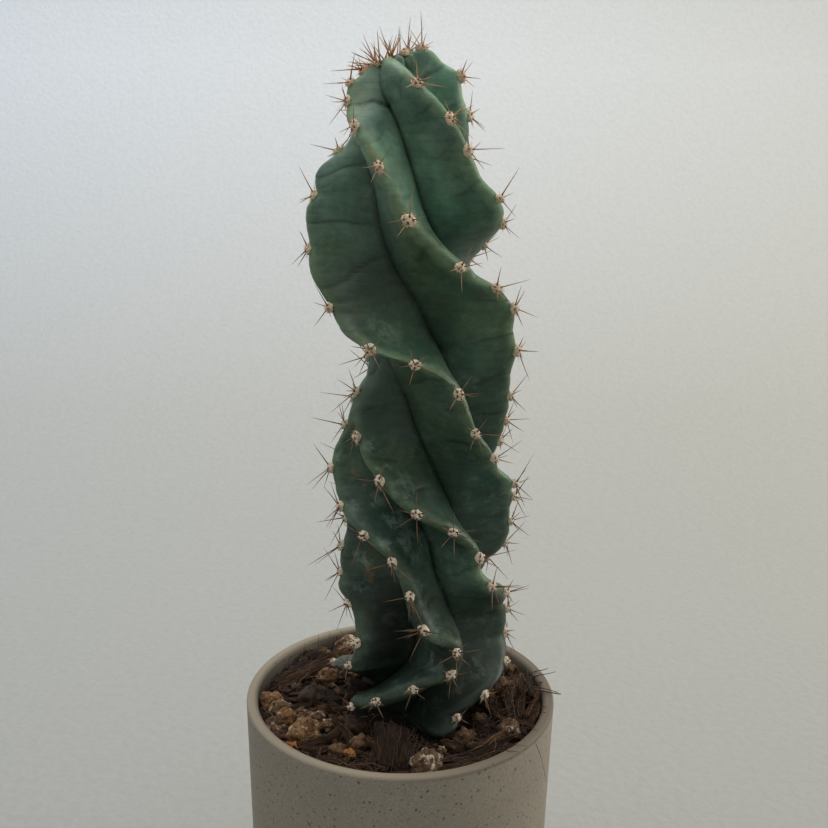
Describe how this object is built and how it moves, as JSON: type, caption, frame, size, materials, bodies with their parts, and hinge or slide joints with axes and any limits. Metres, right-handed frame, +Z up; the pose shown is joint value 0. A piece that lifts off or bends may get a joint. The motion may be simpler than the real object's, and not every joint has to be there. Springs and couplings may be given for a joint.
{
  "type": "potted cactus",
  "caption": "Twisted spiral cactus with deep winding ribs and fine spines, standing in a plain round stoneware pot of bark and pumice mix.",
  "frame": {"origin": "centre of the pot's flat underside", "axes": "+Z up along the plant, -Y towards the front of the plant as pictured, +X to its right"},
  "size_m": [0.1411, 0.14, 0.4234],
  "materials": {
    "pot": "matt warm grey speckled stoneware",
    "soil": "bark, coir and pumice potting mix",
    "stem": "waxy green skin with woolly areoles and red-brown spines"
  },
  "bodies": {
    "root": {"pot": "pot", "soil": "soil", "stem": "stem"}
  },
  "joints": []
}
